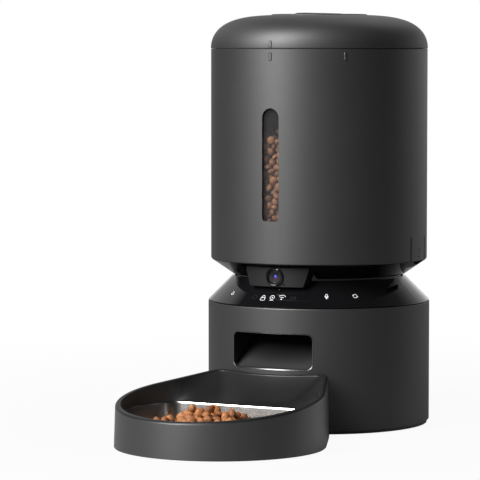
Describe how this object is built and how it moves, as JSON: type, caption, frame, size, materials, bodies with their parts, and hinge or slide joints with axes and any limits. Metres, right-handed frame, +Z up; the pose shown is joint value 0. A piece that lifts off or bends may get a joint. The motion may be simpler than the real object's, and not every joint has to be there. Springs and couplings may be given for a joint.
{
  "type": "pet feeder with camera",
  "caption": "Round automatic pet feeder: lift-off food tank with twist lid and window, metering rotor, touch-panel base with camera and chute, and a pull-out tray with a steel bowl.",
  "frame": {"origin": "on the floor at the axis of the round body", "axes": "+Z up, front of the feeder (camera, chute and bowl) towards -Y, +X to the right seen from the front"},
  "size_m": [0.19, 0.362, 0.3517],
  "materials": {
    "body_grey": "fine matte",
    "gloss_black": "polished",
    "black_plastic": "satin",
    "white_plastic": "satin",
    "rubber_black": "soft",
    "clear_window": "clear",
    "lens_coated": "coated",
    "stainless": "satin",
    "plain_steel": "plain",
    "brass": "plain",
    "board_green": "solder mask",
    "film_amber": "film"
  },
  "bodies": {
    "base": {"base_shell": "body_grey", "base_plate": "black_plastic", "foot_ring": "rubber_black", "base_screws": "plain_steel", "control_panel": "gloss_black", "touch_film": "film_amber", "tank_seat": "black_plastic", "shaft_bush": "brass", "gear_head": "plain_steel", "motor_can": "plain_steel", "motor_screws": "plain_steel", "chute": "black_plastic", "chute_sensors": "black_plastic", "camera_pod": "black_plastic", "pod_cover": "black_plastic", "lens_bezel": "gloss_black", "lens_glass": "lens_coated", "lens_barrel": "black_plastic", "camera_board": "board_green", "main_board": "board_green", "power_inlet": "plain_steel", "speaker": "black_plastic", "battery_box": "black_plastic", "battery_contacts": "plain_steel", "battery_cover": "black_plastic", "cover_screw": "plain_steel"},
    "drive": {"output_shaft": "plain_steel", "drive_coupling": "white_plastic"},
    "tank": {"tank_shell": "body_grey", "window_pane": "clear_window", "tank_collar": "gloss_black", "hopper": "black_plastic", "chamber_floor": "black_plastic", "outlet_baffle": "white_plastic", "baffle_lip": "rubber_black"},
    "right_tab": {"tab_right": "body_grey"},
    "left_tab": {"tab_left": "body_grey"},
    "metering_rotor": {"rotor": "white_plastic", "rotor_tips": "rubber_black", "rotor_cap": "white_plastic"},
    "lid_carrier": {"lid_seal": "rubber_black"},
    "lid": {"lid_shell": "body_grey", "lid_liner": "black_plastic", "desiccant_box": "black_plastic", "desiccant_cover": "white_plastic"},
    "tray": {"bowl_tray": "body_grey", "tray_clips": "body_grey", "tray_pads": "rubber_black"},
    "bowl": {"steel_bowl": "stainless"}
  },
  "joints": [
    {"name": "tank_lift", "type": "slide", "parent": "base", "child": "tank", "axis": [0, 0, 1], "range_m": [0, 0.06]},
    {"name": "lid_lift", "type": "slide", "parent": "tank", "child": "lid_carrier", "axis": [0, 0, 1], "range_m": [0, 0.06]},
    {"name": "lid_twist", "type": "hinge", "parent": "lid_carrier", "child": "lid", "pos_m": [0, 0, 0.3215], "axis": [0, 0, 1], "range_deg": [0, 39]},
    {"name": "right_tab_press", "type": "hinge", "parent": "tank", "child": "right_tab", "pos_m": [0.08915, 0.00311, 0.1626], "axis": [-0.0349, 0.9994, 0], "range_deg": [0, 5], "stiffness_Nm_per_rad": 1.2},
    {"name": "left_tab_press", "type": "hinge", "parent": "tank", "child": "left_tab", "pos_m": [-0.08915, 0.00311, 0.1626], "axis": [-0.0349, -0.9994, 0], "range_deg": [0, 5], "stiffness_Nm_per_rad": 1.2},
    {"name": "rotor_spin", "type": "hinge", "parent": "tank", "child": "metering_rotor", "pos_m": [0, 0, 0.12], "axis": [0, 0, 1], "continuous": true},
    {"name": "drive_spin", "type": "hinge", "parent": "base", "child": "drive", "pos_m": [0, 0, 0.11], "axis": [0, 0, 1], "continuous": true},
    {"name": "tray_pull", "type": "slide", "parent": "base", "child": "tray", "axis": [0, -1, 0], "range_m": [0, 0.05]},
    {"name": "bowl_lift", "type": "slide", "parent": "tray", "child": "bowl", "axis": [0, 0, 1], "range_m": [0, 0.05]}
  ],
  "couplings": [
    {"joint": "drive_spin", "follows": "rotor_spin", "ratio": 1}
  ]
}
